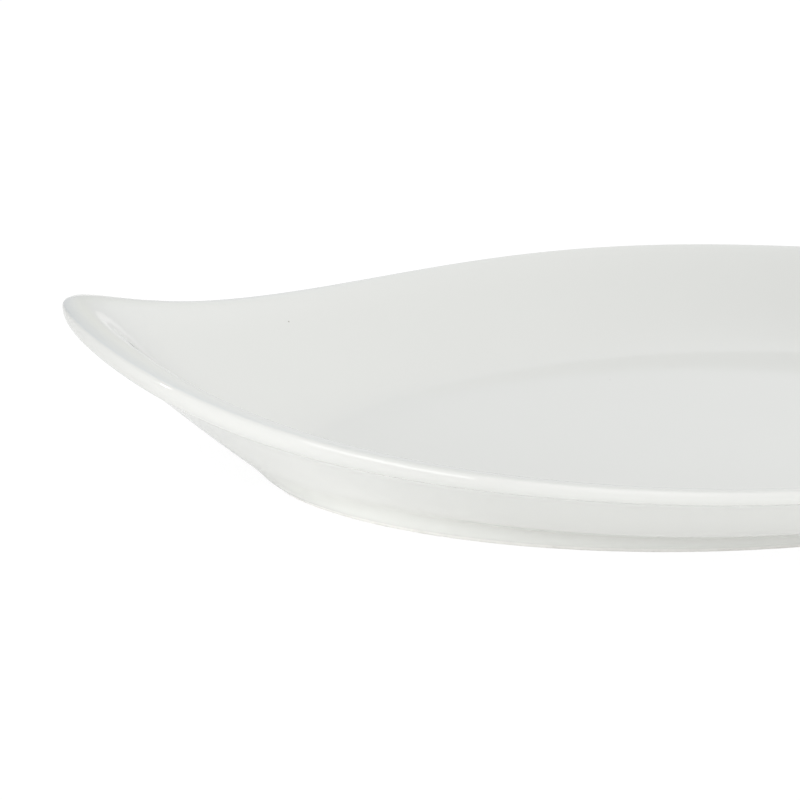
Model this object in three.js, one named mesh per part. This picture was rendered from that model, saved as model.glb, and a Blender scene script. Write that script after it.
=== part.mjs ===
import * as THREE from 'three';

// An oval serving plate in glazed porcelain, drawn out to an upswept point at each end.
// Sizes are in millimetres. The origin is the middle of the standing face,
// X runs from tip to tip, Y runs across the plate and Z is up.

// Plan of the rim. A taper of 0.5 would close the ends as a half ellipse, and 1 as a sharp point.
// The draw-in takes the sides in towards the tips.
const LENGTH = 326;
const WIDTH = 200;
const RIM_TAPER = 0.51;
const RIM_DRAW_IN = 0.555;

// Crest of the rim above the table: lowest at the middle of each side, swept up late towards the tips.
const SIDE_HEIGHT = 26.8;
const TIP_HEIGHT = 49.3;
const SWEEP_POWER = 4.7;

// The section twists on its way from the middle of a side to a tip, so most values come in pairs.
// The rim ends in a band with rounded corners, which overhangs the wall.
// At a side the band is upright and the lip falls in towards the well.
// At a tip the band leans back like a prow and the lip rolls out over it.
const TWIST_POWER = 2.2;
const SIDE_EDGE = 3.7;
const TIP_EDGE = 7;
const EDGE_ROUND = 1.2;
const TIP_EDGE_LEAN = THREE.MathUtils.degToRad(26);
const SIDE_LIP_FALL = THREE.MathUtils.degToRad(16);
const TIP_LIP_FALL = THREE.MathUtils.degToRad(-30);
const UNDERLIP_SLOPE = THREE.MathUtils.degToRad(20);

// The flat well. The holds say how much of a wall's run keeps the direction of its end.
const WELL_LENGTH = 200;
const WELL_WIDTH = 108;
const WELL_TAPER = 0.66;
const LIP_HOLD = 0.18;
const WELL_HOLD = 0.5;

// The foot: an oval band that leans out late at its ends, with a soft hollow where it meets the wall.
const FOOT_LENGTH = 226;
const FOOT_WIDTH = 136;
const FOOT_TAPER = 0.585;
const FOOT_BAND = 4.8;
const SIDE_FOOT_LEAN = THREE.MathUtils.degToRad(8);
const TIP_FOOT_LEAN = THREE.MathUtils.degToRad(42);
const FOOT_LEAN_POWER = 10;
const FOOT_HOLLOW = 2.2;
const WALL_HOLLOW = 5;
const SIDE_WALL_START = THREE.MathUtils.degToRad(14);
const TIP_WALL_START = THREE.MathUtils.degToRad(39);
const WALL_START_HOLD = 0.37;
const SIDE_WALL_END_HOLD = 0.21;
const TIP_WALL_END_HOLD = 0.05;

// The underside: a standing ring round a shallow recess, with the floor above it.
const RING_WIDTH = 5;
const RING_ROUND = 0.8;
const RECESS_DEPTH = 3;
const RECESS_DRAFT = THREE.MathUtils.degToRad(20);
const FLOOR_THICKNESS = 5.2;

// The glaze, which stops above the standing ring so that the plate doesn't stick to the kiln shelf.
const GLAZE = 0.3;
const GLAZE_LINE = 1;

// Facets: stations round the plate, and steps along each stretch of a section.
const STATIONS = 72;
const HOLLOW_STEPS = 2;
const WALL_STEPS = 7;
const CORNER_STEPS = 3;
const WELL_STEPS = 9;

const UP = new THREE.Vector3(0, 0, 1);

// Point of an oval with drawn-out ends, at a turn from the tip on the +X side.
function pointedOval(length, width, taper, drawIn, turn) {
  const across = Math.sin(turn);
  const along = Math.cos(turn);
  const half = (width / 2) * Math.abs(across) ** (2 * taper) / (1 + drawIn * along * along);
  return new THREE.Vector3((length / 2) * along, Math.sign(across) * half, 0);
}

// Point of the foot's outline at table level, and the level direction that faces out from it there.
function footOutline(turn) {
  const nudge = Math.PI / STATIONS;
  const oval = (angle) => pointedOval(FOOT_LENGTH, FOOT_WIDTH, FOOT_TAPER, 0, angle);
  const tangent = oval(turn + nudge).sub(oval(turn - nudge));
  return { point: oval(turn), out: tangent.cross(UP).normalize() };
}

// One section of the glazed surface: from the foot's glaze line, over the rim, to the edge of the well.
function surfaceSection(turn) {
  const twist = Math.abs(Math.cos(turn)) ** TWIST_POWER;
  const twisted = (side, tip) => THREE.MathUtils.lerp(side, tip, twist);
  const sloping = (level, slope) => {
    return level.clone().multiplyScalar(Math.cos(slope)).addScaledVector(UP, Math.sin(slope));
  };
  const foot = footOutline(turn);
  const rim = pointedOval(LENGTH, WIDTH, RIM_TAPER, RIM_DRAW_IN, turn);
  const well = pointedOval(WELL_LENGTH, WELL_WIDTH, WELL_TAPER, 0, turn);
  well.z = RECESS_DEPTH + FLOOR_THICKNESS;
  const crest = THREE.MathUtils.lerp(SIDE_HEIGHT, TIP_HEIGHT, Math.abs(Math.cos(turn)) ** SWEEP_POWER);

  // The rim's band turns from the wall under it, up its face, to the lip's top.
  const out = rim.clone().sub(well).setZ(0).normalize();
  const lipFall = twisted(SIDE_LIP_FALL, TIP_LIP_FALL);
  const lean = TIP_EDGE_LEAN * twist;
  const face = twisted(SIDE_EDGE, TIP_EDGE) - 2 * EDGE_ROUND;
  const corner = (drop, from, to) => {
    const inset = EDGE_ROUND + drop * Math.tan(lean);
    const centre = rim.clone().addScaledVector(out, -inset).setZ(crest - EDGE_ROUND - drop);
    const points = [];
    for (let step = 0; step <= CORNER_STEPS; step += 1) {
      const angle = THREE.MathUtils.lerp(from, to, step / CORNER_STEPS);
      points.push(centre.clone().addScaledVector(sloping(out, angle), EDGE_ROUND));
    }
    return points;
  };
  const edge = [
    ...corner(face, UNDERLIP_SLOPE - Math.PI / 2, -lean),
    ...corner(0, -lean, lipFall + Math.PI / 2),
  ];
  const lipBottom = edge[0];
  const lipTop = edge[edge.length - 1];

  // The foot leans out to the line where the wall springs from it, and a hollow softens that line.
  const leanShare = Math.abs(Math.cos(turn)) ** FOOT_LEAN_POWER;
  const footLean = Math.tan(THREE.MathUtils.lerp(SIDE_FOOT_LEAN, TIP_FOOT_LEAN, leanShare));
  const onFoot = (z) => foot.point.clone().addScaledVector(foot.out, z * footLean).setZ(z);
  const spring = onFoot(FOOT_BAND);
  const wallRun = lipBottom.clone().sub(spring).setZ(0);
  const wallStart = sloping(wallRun.clone().normalize(), twisted(SIDE_WALL_START, TIP_WALL_START));
  const wallEndHold = twisted(SIDE_WALL_END_HOLD, TIP_WALL_END_HOLD);
  const hollowEnd = spring.clone().addScaledVector(wallStart, WALL_HOLLOW);
  const hollow = new THREE.QuadraticBezierCurve3(onFoot(FOOT_BAND - FOOT_HOLLOW), spring, hollowEnd);
  const wall = new THREE.CubicBezierCurve3(
    hollowEnd,
    hollowEnd.clone().addScaledVector(wallStart, wallRun.length() * WALL_START_HOLD),
    lipBottom.clone().addScaledVector(sloping(out, UNDERLIP_SLOPE), -wallRun.length() * wallEndHold),
    lipBottom,
  );

  // Inside, the lip rolls over into a wall that runs out level into the well.
  const wellRun = lipTop.clone().sub(well).setZ(0).length();
  const bowl = new THREE.CubicBezierCurve3(
    lipTop,
    lipTop.clone().addScaledVector(sloping(out, lipFall), -wellRun * LIP_HOLD),
    well.clone().addScaledVector(out, wellRun * WELL_HOLD),
    well,
  );
  return [
    onFoot(GLAZE_LINE),
    ...hollow.getPoints(HOLLOW_STEPS),
    ...wall.getPoints(WALL_STEPS).slice(1),
    ...edge.slice(1),
    ...bowl.getPoints(WELL_STEPS).slice(1),
  ];
}

// One section of the bare foot: from the recess's edge, under the standing ring, up towards the glaze.
function ringSection(turn) {
  const foot = footOutline(turn);
  const at = (inset, z) => foot.point.clone().addScaledVector(foot.out, -inset).setZ(z);
  const recessInset = RING_WIDTH + RECESS_DEPTH * Math.tan(RECESS_DRAFT);
  return [
    at(recessInset, RECESS_DEPTH + GLAZE),
    at(recessInset, RECESS_DEPTH),
    at(RING_WIDTH, RING_ROUND),
    at(RING_WIDTH - RING_ROUND, 0),
    at(GLAZE + RING_ROUND, 0),
    at(GLAZE, RING_ROUND),
  ];
}

// Sections for every station, turned into rings that run round the plate.
function ringsOf(section) {
  const sections = [];
  for (let station = 0; station < STATIONS; station += 1) {
    sections.push(section((2 * Math.PI * station) / STATIONS));
  }
  return sections[0].map((_, row) => sections.map((points) => points[row]));
}

// The same rings sunk below the surface by a depth. The last ring borders the level well.
function sunkRings(rings, depth) {
  const last = rings.length - 1;
  return rings.map((ring, row) => ring.map((point, station) => {
    if (row === last) {
      return point.clone().addScaledVector(UP, -depth);
    }
    const before = rings[Math.max(row - 1, 0)][station];
    const along = rings[row + 1][station].clone().sub(before);
    const next = ring[(station + 1) % STATIONS];
    const across = next.clone().sub(ring[(station + STATIONS - 1) % STATIONS]);
    return point.clone().addScaledVector(across.cross(along).normalize(), -depth);
  }));
}

// Closed solid lofted through rings, with a flat cap from each end ring to its middle point.
// Each four-sided cell is split along its shorter diagonal, so surfaces that touch share their facets.
function loft(rings) {
  const positions = [];
  const index = [];
  const first = rings[0];
  const last = rings[rings.length - 1];
  rings.flat().forEach((point) => positions.push(point.x, point.y, point.z));
  const startMiddle = positions.length / 3;
  positions.push(0, 0, first[0].z);
  positions.push(0, 0, last[0].z);
  for (let station = 0; station < STATIONS; station += 1) {
    const next = (station + 1) % STATIONS;
    for (let row = 0; row + 1 < rings.length; row += 1) {
      const a = row * STATIONS + station;
      const b = row * STATIONS + next;
      const c = b + STATIONS;
      const d = a + STATIONS;
      const rising = rings[row][station].distanceTo(rings[row + 1][next]);
      const falling = rings[row][next].distanceTo(rings[row + 1][station]);
      if (rising < falling) {
        index.push(a, b, c, a, c, d);
      } else {
        index.push(a, b, d, b, c, d);
      }
    }
    const lastRow = (rings.length - 1) * STATIONS;
    index.push(startMiddle, next, station);
    index.push(startMiddle + 1, lastRow + station, lastRow + next);
  }
  const geometry = new THREE.BufferGeometry();
  geometry.setAttribute('position', new THREE.Float32BufferAttribute(positions, 3));
  geometry.setIndex(index);
  geometry.computeVertexNormals();
  return geometry;
}

const glazedRings = ringsOf(surfaceSection);
const bodyRings = sunkRings(glazedRings, GLAZE);
const footRings = ringsOf(ringSection);

const biscuit = new THREE.MeshStandardMaterial({ color: 0xe6e2d8, roughness: 0.85, metalness: 0 });
const whiteGlaze = new THREE.MeshStandardMaterial({ color: 0xeeeeeb, roughness: 0.08, metalness: 0 });
const undersideGlaze = new THREE.MeshStandardMaterial({ color: 0xeaeae6, roughness: 0.12, metalness: 0 });

// The fired porcelain: standing ring, foot, wall, rim and floor in one piece, as it leaves the mould.
const body = new THREE.Mesh(loft([...footRings, ...bodyRings]), biscuit);
body.name = 'porcelain_body';

// The glaze of the outside, the rim and the well is one unbroken coat that ends at the foot.
const coat = new THREE.Mesh(loft([...bodyRings.slice().reverse(), ...glazedRings]), whiteGlaze);
coat.name = 'glaze_coat';

// The glaze of the recess is cut off from the rest by the bare standing ring.
const recessCeiling = footRings[0];
const recessGlaze = footRings[1];
const base = new THREE.Mesh(loft([recessGlaze, recessCeiling]), undersideGlaze);
base.name = 'base_glaze';

const plate = new THREE.Group();
plate.name = 'oval_plate';
plate.add(body, coat, base);

export default plate;
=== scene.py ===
import math

import bpy
import numpy as np
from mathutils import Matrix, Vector


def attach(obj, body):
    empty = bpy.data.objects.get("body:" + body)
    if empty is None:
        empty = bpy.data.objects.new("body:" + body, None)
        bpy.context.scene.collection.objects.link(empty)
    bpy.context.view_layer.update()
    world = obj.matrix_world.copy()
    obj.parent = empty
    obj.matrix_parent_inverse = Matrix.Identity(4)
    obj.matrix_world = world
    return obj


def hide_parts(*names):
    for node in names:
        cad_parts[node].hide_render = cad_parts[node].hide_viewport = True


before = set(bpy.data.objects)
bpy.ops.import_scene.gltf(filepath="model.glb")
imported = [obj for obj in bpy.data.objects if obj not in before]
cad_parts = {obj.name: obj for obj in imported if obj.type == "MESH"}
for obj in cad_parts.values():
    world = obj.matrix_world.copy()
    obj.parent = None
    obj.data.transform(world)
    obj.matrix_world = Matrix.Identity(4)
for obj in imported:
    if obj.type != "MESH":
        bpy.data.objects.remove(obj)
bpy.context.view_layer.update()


# The porcelain body.
# Vitrified porcelain, pressed in a mould and fired in one piece: standing ring, foot, wall, rim and floor.
# Only the standing ring shows, left bare and ground flat, because glaze there would stick to the kiln shelf.

# The rim's outline from above, and its rise from the sides to the tips.
RIM_LENGTH = 0.3252
RIM_WIDTH = 0.1995
RIM_TAPER = 0.51
RIM_DRAW_IN = 0.555
SIDE_HEIGHT = 0.0268
TIP_HEIGHT = 0.04885
SWEEP_POWER = 4.7

# The rim's edge: a slightly swollen band with rounded corners, upright at the sides and leaning at the tips.
TWIST_POWER = 2.2
SIDE_EDGE, TIP_EDGE = 0.0037, 0.0070
EDGE_ROUND = 0.0012
EDGE_SWELL = math.radians(26)
TIP_EDGE_LEAN = math.radians(26)
SIDE_LIP_FALL, TIP_LIP_FALL = math.radians(16), math.radians(-30)
UNDERLIP_SLOPE = math.radians(20)

# The level well, and the shares of the bowl's run that follow the lip's slope and the well's level.
WELL_LENGTH = 0.200
WELL_WIDTH = 0.108
WELL_TAPER = 0.66
LIP_HOLD = 0.18
WELL_HOLD = 0.5

# The foot, the hollow over it and the wall from there to the rim.
FOOT_LENGTH = 0.226
FOOT_WIDTH = 0.136
FOOT_TAPER = 0.585
FOOT_BAND = 0.0048
SIDE_FOOT_LEAN, TIP_FOOT_LEAN = math.radians(8), math.radians(42)
FOOT_LEAN_POWER = 10
FOOT_HOLLOW = 0.0022
WALL_HOLLOW = 0.005
SIDE_WALL_START, TIP_WALL_START = math.radians(14), math.radians(39)
WALL_START_HOLD = 0.37
SIDE_WALL_END_HOLD, TIP_WALL_END_HOLD = 0.21, 0.05

# The standing ring, the recess inside it and the floor, and where the glaze begins over the ring.
RING_WIDTH = 0.005
RING_ROUND = 0.0008
RECESS_DEPTH = 0.003
RECESS_DRAFT = math.radians(20)
FLOOR_THICKNESS = 0.0052
GLAZE = 0.0003
GLAZE_LINE = 0.001

# The steps of the mesh: stations round the plate, rows along its profile, and rings on its level faces.
# The last ring lies near the middle, at a small share of the outline.
STATIONS = 288
FOOT_STEPS, HOLLOW_STEPS, WALL_STEPS = 4, 8, 36
LOW_CORNER_STEPS, FACE_STEPS, TOP_CORNER_STEPS = 12, 10, 20
BOWL_STEPS = 36
RING_ROUND_STEPS = 5
FLOOR_RINGS, CEILING_RINGS, RECESS_RINGS = 12, 8, 9
MIDDLE_SHARE = 0.08
OUTLINE_NUDGE = math.pi / 72
SHARP_ABOVE = math.radians(50)

UP = np.array([0.0, 0.0, 1.0])
turn = np.arange(STATIONS) * (2 * math.pi / STATIONS)
sweep = np.abs(np.cos(turn))[:, None]


def pointed_oval(length, width, taper, draw_in, angle):
    """Points of an oval with drawn-out ends, at table level."""
    along, across = np.cos(angle), np.sin(angle)
    half = np.sign(across) * (width / 2) * np.abs(across) ** (2 * taper) / (1 + draw_in * along ** 2)
    return np.stack([length / 2 * along, half, np.zeros_like(along)], axis=-1)


def flattened(vectors):
    return vectors * (1 - UP)


def unit(vectors):
    return vectors / np.linalg.norm(vectors, axis=-1, keepdims=True)


def twisted(side, tip, power=TWIST_POWER):
    """A value that changes from the middle of the sides to the tips."""
    return side + (tip - side) * sweep ** power


def sloping(level, slope):
    return level * np.cos(slope) + UP * np.sin(slope)


def curve(controls, steps):
    """Rows of points along a line or Bezier curve of two to four controls, one curve for each station."""
    share = np.linspace(0, 1, steps + 1)[:, None, None]
    degree = len(controls) - 1
    weights = [math.comb(degree, k) * share ** k * (1 - share) ** (degree - k) for k in range(degree + 1)]
    return sum(weight * control[None] for weight, control in zip(weights, controls))


def foot_oval(angle):
    return pointed_oval(FOOT_LENGTH, FOOT_WIDTH, FOOT_TAPER, 0, angle)


foot_line = foot_oval(turn)
foot_out = unit(np.cross(foot_oval(turn + OUTLINE_NUDGE) - foot_oval(turn - OUTLINE_NUDGE), UP))
foot_lean = np.tan(twisted(SIDE_FOOT_LEAN, TIP_FOOT_LEAN, FOOT_LEAN_POWER))


def on_foot(height):
    return foot_line + foot_out * (height * foot_lean) + UP * height


def in_foot(inset, height):
    return foot_line - foot_out * inset + UP * height


def glazed_rows():
    """The plate's outer face in stretches: foot, hollow, wall, rim band, bowl and level well."""
    rim = pointed_oval(RIM_LENGTH, RIM_WIDTH, RIM_TAPER, RIM_DRAW_IN, turn)
    well = pointed_oval(WELL_LENGTH, WELL_WIDTH, WELL_TAPER, 0, turn) + UP * (RECESS_DEPTH + FLOOR_THICKNESS)
    out = unit(flattened(rim - well))
    crest = twisted(SIDE_HEIGHT, TIP_HEIGHT, SWEEP_POWER)

    lean = twisted(0, TIP_EDGE_LEAN)
    lip_fall = twisted(SIDE_LIP_FALL, TIP_LIP_FALL)

    def corner(below, first, last, steps):
        angle = first + (last - first) * np.linspace(0, 1, steps + 1)[:, None, None]
        centre = rim - out * (EDGE_ROUND + below * np.tan(lean)) + UP * (crest - EDGE_ROUND - below)
        return centre + EDGE_ROUND * sloping(out, angle)

    drop = twisted(SIDE_EDGE, TIP_EDGE) - 2 * EDGE_ROUND
    low_corner = corner(drop, UNDERLIP_SLOPE - math.pi / 2, -lean - EDGE_SWELL, LOW_CORNER_STEPS)
    top_corner = corner(0, EDGE_SWELL - lean, lip_fall + math.pi / 2, TOP_CORNER_STEPS)
    chord = top_corner[0] - low_corner[-1]
    half_face = np.linalg.norm(chord, axis=-1, keepdims=True) / 2
    swell = low_corner[-1] + chord / 2 + sloping(out, -lean) * half_face * math.tan(EDGE_SWELL)
    face = curve([low_corner[-1], swell, top_corner[0]], FACE_STEPS)
    edge = np.concatenate([low_corner, face[1:-1], top_corner])

    spring = on_foot(FOOT_BAND)
    wall_run = flattened(edge[0] - spring)
    run = np.linalg.norm(wall_run, axis=-1, keepdims=True)
    wall_start = sloping(unit(wall_run), twisted(SIDE_WALL_START, TIP_WALL_START))
    hollow_start = on_foot(FOOT_BAND - FOOT_HOLLOW)
    hollow_end = spring + wall_start * WALL_HOLLOW
    foot = curve([on_foot(GLAZE_LINE), hollow_start], FOOT_STEPS)
    hollow = curve([hollow_start, spring, hollow_end], HOLLOW_STEPS)
    wall_rise = hollow_end + wall_start * run * WALL_START_HOLD
    wall_end = edge[0] - sloping(out, UNDERLIP_SLOPE) * run * twisted(SIDE_WALL_END_HOLD, TIP_WALL_END_HOLD)
    wall = curve([hollow_end, wall_rise, wall_end, edge[0]], WALL_STEPS)

    well_run = np.linalg.norm(flattened(edge[-1] - well), axis=-1, keepdims=True)
    bowl_start = edge[-1] - sloping(out, lip_fall) * well_run * LIP_HOLD
    bowl = curve([edge[-1], bowl_start, well + out * well_run * WELL_HOLD, well], BOWL_STEPS)
    shrink = np.linspace(1, MIDDLE_SHARE, FLOOR_RINGS)[1:, None, None]
    floor = flattened(well) * shrink + UP * well[0, 2]
    return foot, hollow[1:], wall[1:], edge[1:], bowl[1:], floor


def sunk(rows, depth):
    """The same rows below the surface. The last row lies in the level well."""
    across = np.roll(rows, -1, axis=1) - np.roll(rows, 1, axis=1)
    along = np.concatenate([rows[1:], rows[-1:]]) - np.concatenate([rows[:1], rows[:-1]])
    normal = unit(np.cross(across, along))
    normal[-1] = UP
    return rows - normal * depth


def closed_shell(name, rows, material):
    """A solid lofted through rows of points round the plate, closed by a fan at each end."""
    count, around = rows.shape[:2]
    middles = [rows[0].mean(axis=0), rows[-1].mean(axis=0)]
    points = np.concatenate([rows.reshape(-1, 3), middles])
    here = np.arange(count * around).reshape(count, around)
    beside = np.roll(here, -1, axis=1)
    faces = np.stack([here[:-1], beside[:-1], beside[1:], here[1:]], axis=-1).reshape(-1, 4).tolist()
    start, end = count * around, count * around + 1
    faces += [[start, b, a] for a, b in zip(here[0].tolist(), beside[0].tolist())]
    faces += [[end, a, b] for a, b in zip(here[-1].tolist(), beside[-1].tolist())]
    mesh = bpy.data.meshes.new(name)
    mesh.from_pydata(points.tolist(), [], faces)
    mesh.polygons.foreach_set("use_smooth", [True] * len(mesh.polygons))
    mesh.set_sharp_from_angle(angle=SHARP_ABOVE)
    mesh.materials.append(material)
    mesh.validate()
    piece = bpy.data.objects.new(name, mesh)
    bpy.context.scene.collection.objects.link(piece)
    return piece


def node(tree, kind, settings=None, **inputs):
    """A node with its settings made and its sockets filled, from values or from other nodes' sockets.

    A socket goes by its name, with _ for a space, or by i and its number.
    """
    made = tree.nodes.new(kind)
    for key, value in (settings or {}).items():
        setattr(made, key, value)
    for key, value in inputs.items():
        numbered = key[0] == "i" and key[1:].isdigit()
        socket = made.inputs[int(key[1:]) if numbered else key.replace("_", " ")]
        if isinstance(value, bpy.types.NodeSocket):
            tree.links.new(value, socket)
        else:
            socket.default_value = value
    return made


def mixed(tree, share, base, over, blend="MIX"):
    """A colour with a share of another one over it."""
    settings = {"data_type": "RGBA", "blend_type": blend}
    return node(tree, "ShaderNodeMix", settings, Factor=share, i6=base, i7=over).outputs[2]


def noise(tree, place, scale, detail, roughness=0.5):
    """Cloudy noise over the piece, from 0 to 1."""
    clouds = node(tree, "ShaderNodeTexNoise", Vector=place, Scale=scale, Detail=detail, Roughness=roughness)
    return clouds.outputs["Fac"]


def ranged(tree, value, **limits):
    """A value brought from one range to another, each of which is 0 to 1 where no limit is given."""
    return node(tree, "ShaderNodeMapRange", Value=value, **limits).outputs["Result"]


def new_material(name):
    material = bpy.data.materials.new(name)
    material.use_nodes = True
    material.node_tree.nodes.clear()
    return material, material.node_tree


def fired_surface(tree, **sockets):
    shader = node(tree, "ShaderNodeBsdfPrincipled", **sockets)
    node(tree, "ShaderNodeOutputMaterial", Surface=shader.outputs["BSDF"])


# Bare porcelain is matt and a little warmer than the glaze, with a fine grain and grey scuffs from grinding.
CLAY_DARK = (0.84, 0.83, 0.80, 1)
CLAY_LIGHT = (0.89, 0.88, 0.855, 1)
CLAY_SCUFFED = (0.74, 0.73, 0.70, 1)

bare_porcelain, tree = new_material("bare_porcelain")
place = node(tree, "ShaderNodeTexCoord").outputs["Object"]
grain = noise(tree, place, scale=2600.0, detail=3.0)
scuffs = noise(tree, place, scale=160.0, detail=5.0, roughness=0.7)
scuffed = ranged(tree, scuffs, From_Min=0.52, From_Max=0.72)
clay = mixed(tree, grain, CLAY_DARK, CLAY_LIGHT)
worn = mixed(tree, scuffed, clay, CLAY_SCUFFED)
rough = ranged(tree, grain, To_Min=0.72, To_Max=0.92)
grit = node(tree, "ShaderNodeBump", Strength=0.25, Distance=0.00005, Height=grain).outputs["Normal"]
fired_surface(tree, Base_Color=worn, Roughness=rough, Normal=grit)

stretches = glazed_rows()
glazed_face = np.concatenate(stretches)
body_face = sunk(glazed_face, GLAZE)

recess_inset = RING_WIDTH + RECESS_DEPTH * math.tan(RECESS_DRAFT)
quarter = np.linspace(0, math.pi / 2, RING_ROUND_STEPS + 1)
ring = [in_foot(recess_inset, RECESS_DEPTH + GLAZE), in_foot(recess_inset, RECESS_DEPTH)]
for a in quarter:
    ring.append(in_foot(RING_WIDTH - RING_ROUND * (1 - math.cos(a)), RING_ROUND * (1 - math.sin(a))))
for a in quarter:
    ring.append(in_foot(GLAZE + RING_ROUND * (1 - math.sin(a)), RING_ROUND * (1 - math.cos(a))))
ceiling_shares = np.linspace(MIDDLE_SHARE, 1, CEILING_RINGS)[:-1]
ceiling = [flattened(ring[0]) * share + UP * (RECESS_DEPTH + GLAZE) for share in ceiling_shares]

body_rows = np.concatenate([ceiling, ring, body_face])
porcelain_body = closed_shell("porcelain_body_fired", body_rows, bare_porcelain)
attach(porcelain_body, "root")
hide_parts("porcelain_body")


# The glaze of the outside, the rim and the well.
# A clear glaze over white slip, poured on and fused to the body in the second firing, about 0.3 mm thick.
# It thins to a soft edge where the potter wiped it off above the standing ring.
GLAZE_WHITE = (0.814, 0.818, 0.793, 1)
# The darker olive colour below is painted shade, laid in the hollow over the foot, round the well's edge and
# in the crease behind the tips' lip.
GLAZE_PAINTED_SHADE = (0.705, 0.712, 0.650, 1)
# The lighter colour below is painted light on the rim's edge band.
GLAZE_PAINTED_LIGHT = (0.832, 0.832, 0.808, 1)
# The greyer, cooler colour below is painted shade on the lip at the tips.
GLAZE_PAINTED_LIP_SHADE = (0.738, 0.758, 0.760, 1)
IRON_SPECK = (0.42, 0.39, 0.33, 1)
GLAZE_IOR = 1.5
RIPPLE_HEIGHT = 0.0002
PEEL_SHARE = 0.03
EDGE_FADE = (0.15, 0.6, 0.9)


def reckoned(tree, operation, *terms):
    """The result of a Math node on values or sockets."""
    sockets = {f"i{number}": term for number, term in enumerate(terms)}
    return node(tree, "ShaderNodeMath", {"operation": operation}, **sockets).outputs["Value"]


# How a fired glaze lies: broad drifts of tone, a slow ripple with a fine orange peel, and a few iron specks.
# The clean share is the part of the speck cells that hold no speck.
glaze_flow = bpy.data.node_groups.new("glaze_flow", "ShaderNodeTree")
for label, usual in (("Drift Scale", 20.0), ("Ripple Scale", 60.0), ("Clean Share", 0.7),
                     ("Roughness Low", 0.05), ("Roughness High", 0.10)):
    given = glaze_flow.interface.new_socket(label, in_out="INPUT", socket_type="NodeSocketFloat")
    given.default_value = usual
for label in ("Drift", "Specks", "Roughness", "Height"):
    glaze_flow.interface.new_socket(label, in_out="OUTPUT", socket_type="NodeSocketFloat")
given = node(glaze_flow, "NodeGroupInput").outputs
place = node(glaze_flow, "ShaderNodeTexCoord").outputs["Object"]
drift = noise(glaze_flow, place, scale=given["Drift Scale"], detail=2.0)
ripple = noise(glaze_flow, place, scale=given["Ripple Scale"], detail=1.0)
peel = noise(glaze_flow, place, scale=650.0, detail=1.0)
cells = node(glaze_flow, "ShaderNodeTexVoronoi", Vector=place, Scale=120.0).outputs
near_speck = ranged(glaze_flow, cells["Distance"], From_Min=0.034, From_Max=0.018)
pick = node(glaze_flow, "ShaderNodeSeparateColor", Color=cells["Color"]).outputs["Red"]
picked = reckoned(glaze_flow, "GREATER_THAN", pick, given["Clean Share"])
specks = reckoned(glaze_flow, "MULTIPLY", near_speck, picked)
rough = ranged(glaze_flow, drift, To_Min=given["Roughness Low"], To_Max=given["Roughness High"])
height = reckoned(glaze_flow, "MULTIPLY_ADD", peel, PEEL_SHARE, ripple)
node(glaze_flow, "NodeGroupOutput", Drift=drift, Specks=specks, Roughness=rough, Height=height)


def laid_on(tree, label):
    """How much of an effect each point of the coat has."""
    return node(tree, "ShaderNodeAttribute", {"attribute_name": label}).outputs["Fac"]


white_glaze, tree = new_material("white_glaze")
flow = node(tree, "ShaderNodeGroup", {"node_tree": glaze_flow}, Drift_Scale=18.0, Ripple_Scale=55.0,
            Clean_Share=0.98, Roughness_Low=0.02, Roughness_High=0.05).outputs
# Painted shade in the hollow over the foot, round the well's edge and in the crease behind the tips' lip.
with_painted_shade = mixed(tree, laid_on(tree, "painted_shade"), GLAZE_WHITE, GLAZE_PAINTED_SHADE)
# Painted light on the rim's edge band.
with_painted_light = mixed(tree, laid_on(tree, "painted_light"), with_painted_shade, GLAZE_PAINTED_LIGHT)
# Painted shade on the lip at the tips, darker and cooler.
with_painted_lip_shade = mixed(tree, laid_on(tree, "painted_lip_shade"), with_painted_light, GLAZE_PAINTED_LIP_SHADE)
drifted = ranged(tree, flow["Drift"], To_Min=0.985, To_Max=1.015)
toned = mixed(tree, 1.0, with_painted_lip_shade, drifted, "MULTIPLY")
speckled = mixed(tree, flow["Specks"], toned, IRON_SPECK)
rippled = node(tree, "ShaderNodeBump", Strength=0.05, Distance=RIPPLE_HEIGHT, Height=flow["Height"])
fired_surface(tree, Base_Color=speckled, Roughness=flow["Roughness"], Normal=rippled.outputs["Normal"],
              IOR=GLAZE_IOR)

# The coat thins out over its lowest rows, so its edge meets the body at a shallow slope.
fade = np.ones((len(glazed_face), 1, 1))
fade[:len(EDGE_FADE), 0, 0] = EDGE_FADE
coat_face = body_face + (glazed_face - body_face) * fade
glaze_coat = closed_shell("glaze_coat_fired", np.concatenate([body_face[::-1], coat_face]), white_glaze)

# Painted shade darkens the glaze's colour where shade falls: in the hollow over the foot, round the well's
# edge and most in the crease behind the tips' lip.
# The rim's edge band is painted lighter, a painted light for the light that falls on it, and the lip at the
# tips is painted darker and cooler, a painted shade. Places and reaches count rows of the profile.
foot_end, _, wall_end, edge_end, bowl_end, _ = np.cumsum([len(stretch) for stretch in stretches])
row = np.arange(len(glazed_face))[:, None]
tips = sweep[:, 0][None]


def gathered(middle, reach):
    return np.exp(-(((row - middle) / reach) ** 2))


in_hollow = gathered(foot_end + HOLLOW_STEPS // 2, reach=4)
round_well = gathered(bowl_end, reach=10)
in_crease = gathered(edge_end + 3, reach=2.6) * tips ** 6
over_band = gathered((wall_end + edge_end) // 2, reach=12) * np.ones_like(tips)
on_lip = gathered(edge_end - 4, reach=5) * tips ** 2
painted_shade = 0.14 * in_hollow + 0.055 * round_well + 0.9 * in_crease
for label, values in (("painted_shade", painted_shade), ("painted_light", over_band), ("painted_lip_shade", on_lip)):
    layer = glaze_coat.data.attributes.new(label, "FLOAT", "POINT")
    inside_and_out = np.concatenate([values[::-1], values]).ravel()
    layer.data.foreach_set("value", np.concatenate([inside_and_out, [0.0, 0.0]]).astype(np.float32))
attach(glaze_coat, "root")
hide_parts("glaze_coat")


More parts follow.
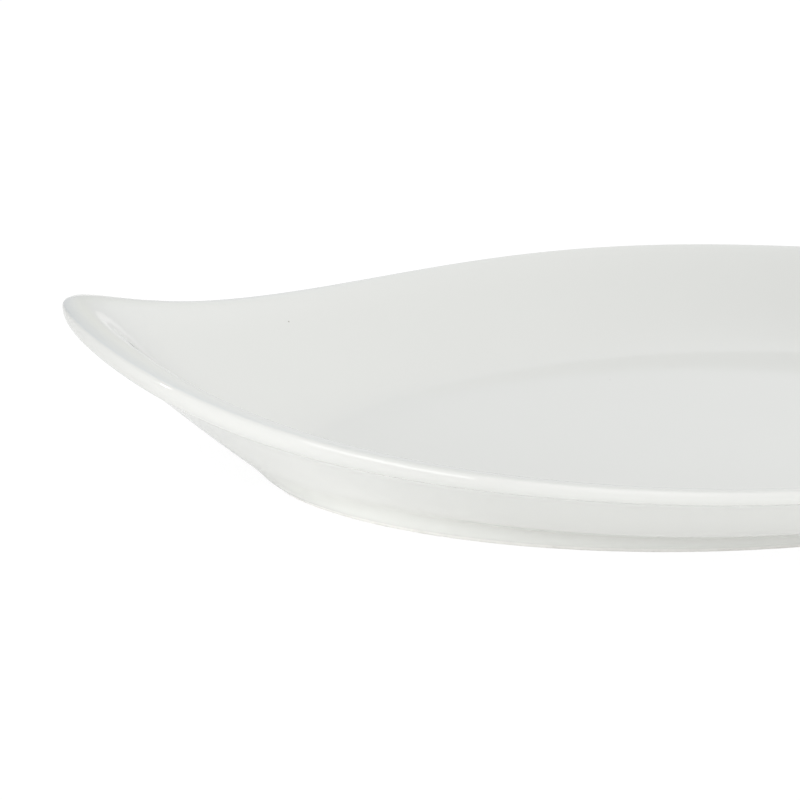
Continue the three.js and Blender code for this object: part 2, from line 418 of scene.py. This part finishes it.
# The glaze in the recess under the plate.
# The same glaze, swilled over the recess inside the standing ring, which keeps it apart from the rest.
# It gathers in the corner of the recess, so it turns down the ring's inner side in a small fillet.
FILLET = 0.0012
FILLET_STEPS = 6
UNDERSIDE_DARK = (0.775, 0.785, 0.750, 1)
UNDERSIDE_LIGHT = (0.815, 0.815, 0.785, 1)

underside_glaze, tree = new_material("underside_glaze")
flow = node(tree, "ShaderNodeGroup", {"node_tree": glaze_flow}, Drift_Scale=30.0, Ripple_Scale=80.0,
            Clean_Share=0.97, Roughness_Low=0.07, Roughness_High=0.14).outputs
toned = mixed(tree, flow["Drift"], UNDERSIDE_DARK, UNDERSIDE_LIGHT)
speckled = mixed(tree, flow["Specks"], toned, IRON_SPECK)
rippled = node(tree, "ShaderNodeBump", Strength=0.2, Distance=RIPPLE_HEIGHT, Height=flow["Height"])
fired_surface(tree, Base_Color=speckled, Roughness=flow["Roughness"], Normal=rippled.outputs["Normal"],
              IOR=GLAZE_IOR)

recess_foot = in_foot(recess_inset - FILLET * math.tan(RECESS_DRAFT), RECESS_DEPTH - FILLET)
recess_corner = in_foot(recess_inset, RECESS_DEPTH)
recess_flat = in_foot(recess_inset + FILLET, RECESS_DEPTH)
fillet = curve([recess_foot, recess_corner, recess_flat], FILLET_STEPS)
level_shares = np.linspace(1, MIDDLE_SHARE, RECESS_RINGS)[1:]
level = [flattened(recess_flat) * share + UP * RECESS_DEPTH for share in level_shares]
recess_face = np.concatenate([ceiling, [ring[0], recess_corner], fillet, level])
base_glaze = closed_shell("base_glaze_fired", recess_face, underside_glaze)
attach(base_glaze, "root")
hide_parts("base_glaze")


# The table and the white surround.
# A smooth sweep of white paper that runs out of the picture on all sides, so the plate stands on plain white.
# The camera sees it white, the glaze mirrors part of that white, and it keeps the plate's soft shadow.
TABLE_HALF = 4.0
TABLE_WHITE = (0.88, 0.88, 0.875, 1)
PURE_WHITE = (1, 1, 1, 1)
SEEN_WHITE = 1.06
SHADOW_SHARE = 0.15
MIRROR_SHARE = 0.4
TABLE_GLOW = 0.14

sweep_white, tree = new_material("sweep_white")
path = node(tree, "ShaderNodeLightPath").outputs
mirrored = reckoned(tree, "MULTIPLY", path["Is Glossy Ray"], MIRROR_SHARE)
looked_at = reckoned(tree, "MAXIMUM", path["Is Camera Ray"], path["Is Transmission Ray"])
seen = reckoned(tree, "MAXIMUM", looked_at, mirrored)
white_share = reckoned(tree, "MULTIPLY", seen, 1 - SHADOW_SHARE)
paper = node(tree, "ShaderNodeBsdfDiffuse", Color=TABLE_WHITE)
back_light = node(tree, "ShaderNodeEmission", Color=PURE_WHITE, Strength=TABLE_GLOW)
lit_paper = node(tree, "ShaderNodeAddShader", i0=paper.outputs["BSDF"], i1=back_light.outputs["Emission"])
plain_white = node(tree, "ShaderNodeEmission", Color=PURE_WHITE, Strength=SEEN_WHITE)
table_look = node(tree, "ShaderNodeMixShader", i0=white_share, i1=lit_paper.outputs["Shader"],
                  i2=plain_white.outputs["Emission"])
node(tree, "ShaderNodeOutputMaterial", Surface=table_look.outputs["Shader"])

table_mesh = bpy.data.meshes.new("table_top")
corners = [(-TABLE_HALF, -TABLE_HALF, 0), (TABLE_HALF, -TABLE_HALF, 0), (TABLE_HALF, TABLE_HALF, 0),
           (-TABLE_HALF, TABLE_HALF, 0)]
table_mesh.from_pydata(corners, [], [(0, 1, 2, 3)])
table_mesh.materials.append(sweep_white)
table_top = bpy.data.objects.new("table_top", table_mesh)
bpy.context.scene.collection.objects.link(table_top)


# The light.
# A pale room with a broad window high in front, a lower one and a faint lamp on the left, a bright wall on the
# right at the back and a pale backdrop. Two softboxes draw the streaks on the rim, and a spot lights the foot.

# Each glow of the room: its name, azimuth and elevation in degrees, how tight it is, and its colour.
ROOM_LEVEL = (0.245, 0.25, 0.255)
ROOM_GLOWS = (("front_window", -14, 35, 8, (1.90, 1.90, 1.88)),
              ("left_window", -30, 8, 10, (0.88, 0.88, 0.88)),
              ("left_lamp", -92, 3, 14, (0.22, 0.24, 0.27)),
              ("back_wall", 122, 38, 3, (1.28, 1.28, 1.27)),
              ("backdrop", 195, 8, 4, (0.45, 0.46, 0.48)))

scene = bpy.context.scene
scene.world = bpy.data.worlds.new("pale_room")
scene.world.use_nodes = True
tree = scene.world.node_tree
tree.nodes.clear()


def heading(azimuth, elevation):
    """A direction from the plate in degrees. Azimuth 0 is straight in front and negative is to the left."""
    a, e = math.radians(azimuth), math.radians(elevation)
    return Vector((math.sin(a) * math.cos(e), -math.cos(a) * math.cos(e), math.sin(e)))


where = node(tree, "ShaderNodeTexCoord").outputs["Generated"]
shine = ROOM_LEVEL
for label, azimuth, elevation, tightness, tint in ROOM_GLOWS:
    towards = heading(azimuth, elevation)
    facing = node(tree, "ShaderNodeVectorMath", {"operation": "DOT_PRODUCT"}, i0=where, i1=towards)
    ahead = reckoned(tree, "MAXIMUM", facing.outputs["Value"], 0.0)
    spread = reckoned(tree, "POWER", ahead, tightness)
    settings = {"operation": "MULTIPLY_ADD", "label": label}
    shine = node(tree, "ShaderNodeVectorMath", settings, i0=spread, i1=tint, i2=shine).outputs["Vector"]
room = node(tree, "ShaderNodeBackground", Color=shine, Strength=1.0)
node(tree, "ShaderNodeOutputWorld", Surface=room.outputs["Background"])


def hung(name, lamp, aim, towards, distance):
    """Hangs a lamp in a direction from the point that it shines on."""
    holder = bpy.data.objects.new(name, lamp)
    holder.location = aim + towards * distance
    holder.rotation_euler = towards.to_track_quat("Z", "Y").to_euler()
    scene.collection.objects.link(holder)


# The softboxes stand low on each side of the camera and face the plate's middle.
PLATE_MIDDLE = Vector((0, 0, 0))
SOFTBOX_ELEVATION = 5
SOFTBOX_DISTANCE = 1.6
SOFTBOX_HEIGHT = 0.32

for name, azimuth, width, watts in (("left_softbox", -49, 0.40, 1.35), ("right_softbox", 11, 0.20, 0.32)):
    softbox = bpy.data.lights.new(name, "AREA")
    softbox.shape = "RECTANGLE"
    softbox.size, softbox.size_y = width, SOFTBOX_HEIGHT
    softbox.energy = watts
    hung(name, softbox, PLATE_MIDDLE, heading(azimuth, SOFTBOX_ELEVATION), SOFTBOX_DISTANCE)

# The narrow spot shines from the left, low enough to pass under the rim, on the foot's near end.
SPOT_AIM = Vector((-0.102, -0.033, 0.004))
SPOT_DISTANCE = 0.9

foot_spot = bpy.data.lights.new("foot_spot", "SPOT")
foot_spot.energy = 11.0
foot_spot.spot_size = math.radians(3.6)
foot_spot.spot_blend = 0.7
foot_spot.shadow_soft_size = 0.03
hung("foot_spot", foot_spot, SPOT_AIM, heading(-70, 5.5), SPOT_DISTANCE)


# The camera.
# It stands in front and to the left of the plate, a little above it, and looks at the plate's left half.
# The right end thus runs out of the picture.
CAMERA_PLACE = Vector((-0.21261, -0.68841, 0.25714))
CAMERA_LOOK = Vector((0.178593, 0.929916, -0.321499))

camera_lens = bpy.data.cameras.new("camera")
camera_lens.sensor_width = 36
camera_lens.lens = 134.75
camera = bpy.data.objects.new("camera", camera_lens)
camera.location = CAMERA_PLACE
camera.rotation_euler = CAMERA_LOOK.to_track_quat("-Z", "Y").to_euler()
scene.collection.objects.link(camera)
scene.camera = camera
scene.view_settings.view_transform = "Standard"
